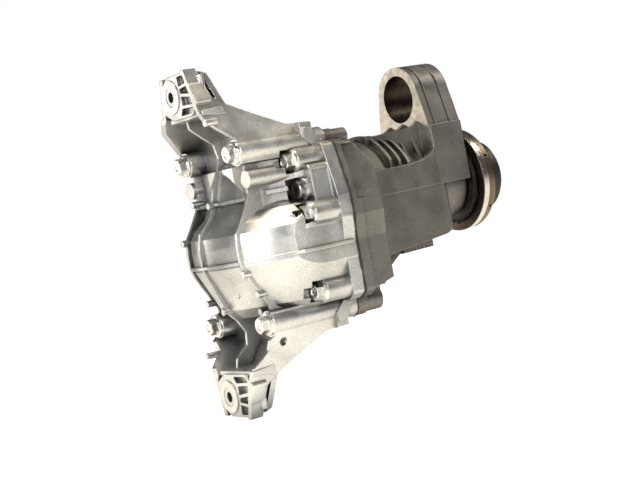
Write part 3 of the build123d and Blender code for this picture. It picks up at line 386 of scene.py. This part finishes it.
def pick_faces(node, material, test):
    """Faces of a CAD node that pass test(centre, normal) take one of its other materials."""
    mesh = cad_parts[node].data
    slot = mesh.materials.find(material.name)
    for face in mesh.polygons:
        if test(face.center, face.normal):
            face.material_index = slot


def near(value, *targets):
    return any(abs(value - target) < PLANE_REACH for target in targets)


def dress_all():
    looks = {name: make(name, *given) for name, (make, *given) in RECIPES.items()}
    for material, names in WORN_BY.items():
        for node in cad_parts:
            if any(matches(node, name) for name in names):
                dress(node, looks[material])

    faced, bore_shade, ear_face = looks["faced_aluminium"], looks["bore_painted_shade"], looks["ear_face"]
    dress("rear_cover", looks["cover_casting"], faced)
    pick_faces("rear_cover", faced, lambda c, n: n.x < -SQUARE and near(c.x, *COVER_FACES_X))
    pick_faces("rear_cover", faced, lambda c, n: n.x > SQUARE and near(c.x, SEAM_X))

    dress("nose_housing", looks["nose_casting"], bore_shade, faced, ear_face)
    # The bushing bore's faces take the near-black painted shade.
    pick_faces("nose_housing", bore_shade,
               lambda c, n: abs(math.hypot(c.y, c.z - BUSHING_Z) - BUSHING_R) < BORE_REACH)
    pick_faces("nose_housing", faced, lambda c, n: abs(n.x) > SQUARE and near(c.x, NOSE_FACE_X))
    pick_faces("nose_housing", ear_face, lambda c, n: n.x < -SQUARE and near(c.x, BUSHING_REAR_X))

    dress("input_flange", looks["flange_steel"], looks["flange_rear"])
    pick_faces("input_flange", looks["flange_rear"],
               lambda c, n: n.x < -REARWARD or math.hypot(c.y, c.z) < FLANGE_DARK_R)
    sealant_bead(looks["sealant"])


# ================================================================ sealant bead
def seam_outline():
    """The outer edge of the seam gasket as (y, z) points in order, all in one plane."""
    mesh = bmesh.new()
    mesh.from_mesh(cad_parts["seam_gasket"].data)
    bmesh.ops.remove_doubles(mesh, verts=mesh.verts, dist=1e-6)
    plane_x = min(v.co.x for v in mesh.verts)
    rim = [e for e in mesh.edges
           if all(abs(v.co.x - plane_x) < 1e-5 for v in e.verts)
           and any(abs(f.normal.x) < 0.5 for f in e.link_faces)
           and any(abs(f.normal.x) > 0.5 for f in e.link_faces)]
    start = max((v for e in rim for v in e.verts), key=lambda v: v.co.y)
    points, here, used = [], start, set()
    while True:
        points.append(Vector((here.co.y, here.co.z)))
        ahead = [e for e in here.link_edges if e in rim and e not in used]
        if not ahead:
            break
        used.add(ahead[0])
        here = ahead[0].other_vert(here)
        if here is start:
            break
    mesh.free()
    return points


def spaced(points, step):
    """Points at even steps along a closed outline."""
    out = []
    for a, b in zip(points, points[1:] + points[:1]):
        count = max(1, round((b - a).length / step))
        out += [a.lerp(b, i / count) for i in range(count)]
    return out


def sealant_bead(material):
    """Black sealant squeezed out of the seam, uneven along its length."""
    outline = spaced(seam_outline(), BEAD_STEP)
    count = len(outline)
    centre = sum(outline, Vector((0, 0))) / count
    middle_x = SEAM_X + GASKET / 2
    bead = bmesh.new()
    rings = []
    for i, point in enumerate(outline):
        along = outline[(i + 1) % count] - outline[i - 1]
        out = Vector((along.y, -along.x)).normalized()
        if out.dot(point - centre) < 0:
            out = -out
        wave = noise.noise(Vector((point.x, point.y, 0)) * BEAD_SWELL)
        wave += 0.5 * noise.noise(Vector((point.y, point.x, 3)) * BEAD_RIPPLE)
        height = BEAD_HEIGHT * (1 + 0.8 * wave)
        width = BEAD_WIDTH * (1 + 0.5 * wave)
        ring = []
        for step in range(BEAD_SIDES):
            angle = 2 * math.pi * step / BEAD_SIDES
            reach = height * (0.2 + 0.8 * math.cos(angle))   # from 0.6 inside the edge to 1 outside
            place = point + out * reach
            ring.append(bead.verts.new((middle_x + width * math.sin(angle), place.x, place.y)))
        rings.append(ring)
    for first, second in zip(rings, rings[1:] + rings[:1]):
        for k in range(BEAD_SIDES):
            m = (k + 1) % BEAD_SIDES
            bead.faces.new((first[k], first[m], second[m], second[k]))
    bmesh.ops.recalc_face_normals(bead, faces=bead.faces)
    mesh = bpy.data.meshes.new("sealant_bead")
    bead.to_mesh(mesh)
    bead.free()
    mesh.materials.append(material)
    for face in mesh.polygons:
        face.use_smooth = True
    piece = bpy.data.objects.new("sealant_bead", mesh)
    bpy.context.scene.collection.objects.link(piece)
    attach(piece, "housing")


# ================================================================ stage, lights, camera
def make_stage():
    """A pale floor that glows for the camera but hardly lights the object's underside."""
    floor_z = cad_low.z - FLOOR_DROP
    turns = ((-1, -1), (1, -1), (1, 1), (-1, 1))
    corners = [(x * FLOOR_HALF, y * FLOOR_HALF, floor_z) for x, y in turns]
    mesh = bpy.data.meshes.new("floor")
    mesh.from_pydata(corners, [], [(0, 1, 2, 3)])
    floor = bpy.data.objects.new("floor", mesh)
    bpy.context.scene.collection.objects.link(floor)
    s = Shader("floor_paint", (0.93, 0.93, 0.92), 0.0, 0.85)
    s.bsdf.inputs["Emission Color"].default_value = (*WHITE, 1)
    seen = s.add("ShaderNodeLightPath").outputs["Is Camera Ray"]
    glow = s.spread(seen, 0, 1, FLOOR_GLOW_LIT, FLOOR_GLOW_SEEN)
    s.link(glow, s.bsdf.inputs["Emission Strength"])
    floor.data.materials.append(s.material)


def make_world():
    """White behind the object for the camera, and a weak even fill for everything else."""
    world = bpy.data.worlds.new("studio")
    bpy.context.scene.world = world
    world.use_nodes = True
    nodes, links = world.node_tree.nodes, world.node_tree.links
    glow = nodes["Background"]
    glow.inputs["Color"].default_value = (*WHITE, 1)
    glow.inputs["Strength"].default_value = WORLD_SEEN
    soft = nodes.new("ShaderNodeBackground")
    soft.inputs["Strength"].default_value = WORLD_LIT
    ray = nodes.new("ShaderNodeLightPath")
    mix = nodes.new("ShaderNodeMixShader")
    links.new(ray.outputs["Is Camera Ray"], mix.inputs[0])
    links.new(soft.outputs[0], mix.inputs[1])
    links.new(glow.outputs[0], mix.inputs[2])
    links.new(mix.outputs[0], nodes["World Output"].inputs["Surface"])


def area_light(name, offset, size, power, colour):
    """A rectangular lamp, offset from the middle of the housing and pointed at it."""
    light = bpy.data.lights.new(name, "AREA")
    light.shape = "RECTANGLE"
    light.size, light.size_y = size
    light.energy = power
    light.color = colour
    lamp = bpy.data.objects.new(name, light)
    bpy.context.scene.collection.objects.link(lamp)
    lamp.location = MIDDLE + Vector(offset)
    lamp.rotation_mode = "QUATERNION"
    lamp.rotation_quaternion = Vector(offset).to_track_quat("Z", "Y")


def make_camera():
    """A camera DISTANCE from AIM, looking at it, rolled about its line of sight."""
    ca, sa = math.cos(AZIMUTH), math.sin(AZIMUTH)
    ce, se = math.cos(ELEVATION), math.sin(ELEVATION)
    back = Vector((sa * ce, -ca * ce, se))
    right = Vector((ca, sa, 0))
    up = back.cross(right)
    right_rolled = math.cos(ROLL) * right - math.sin(ROLL) * up
    up_rolled = math.sin(ROLL) * right + math.cos(ROLL) * up
    data = bpy.data.cameras.new("camera")
    data.sensor_width = SENSOR
    data.lens = LENS
    camera = bpy.data.objects.new("camera", data)
    bpy.context.scene.collection.objects.link(camera)
    turn = Matrix((right_rolled, up_rolled, back)).transposed().to_4x4()
    camera.matrix_world = Matrix.Translation(AIM + back * DISTANCE) @ turn
    bpy.context.scene.camera = camera


dress_all()
make_stage()
make_world()
for lamp_settings in LAMPS:
    area_light(*lamp_settings)
make_camera()
bpy.context.scene.view_settings.view_transform = "Standard"
